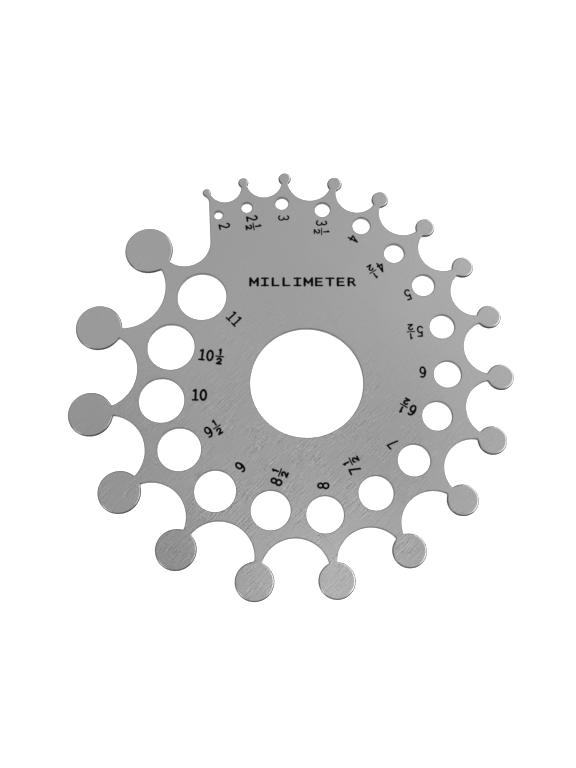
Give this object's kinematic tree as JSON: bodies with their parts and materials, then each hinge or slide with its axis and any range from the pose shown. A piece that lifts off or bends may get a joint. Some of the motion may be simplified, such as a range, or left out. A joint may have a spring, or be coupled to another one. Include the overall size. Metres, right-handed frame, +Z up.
{
  "type": "gemstone size gauge",
  "caption": "Flat round steel gauge with graded round lobes round its rim, a matching graded hole behind each lobe, and a large central hole.",
  "frame": {"origin": "axis of the central hole, in the underside of the sheet", "axes": "+Z up through the sheet, out of the lettered face; +X along the line of reading; +Y towards the smallest lobes"},
  "size_m": [0.0988, 0.099, 0.001],
  "materials": {
    "steel": "fine diagonal brushing, edges slightly rounded"
  },
  "bodies": {
    "root": {"gauge_plate": "steel"}
  },
  "joints": []
}
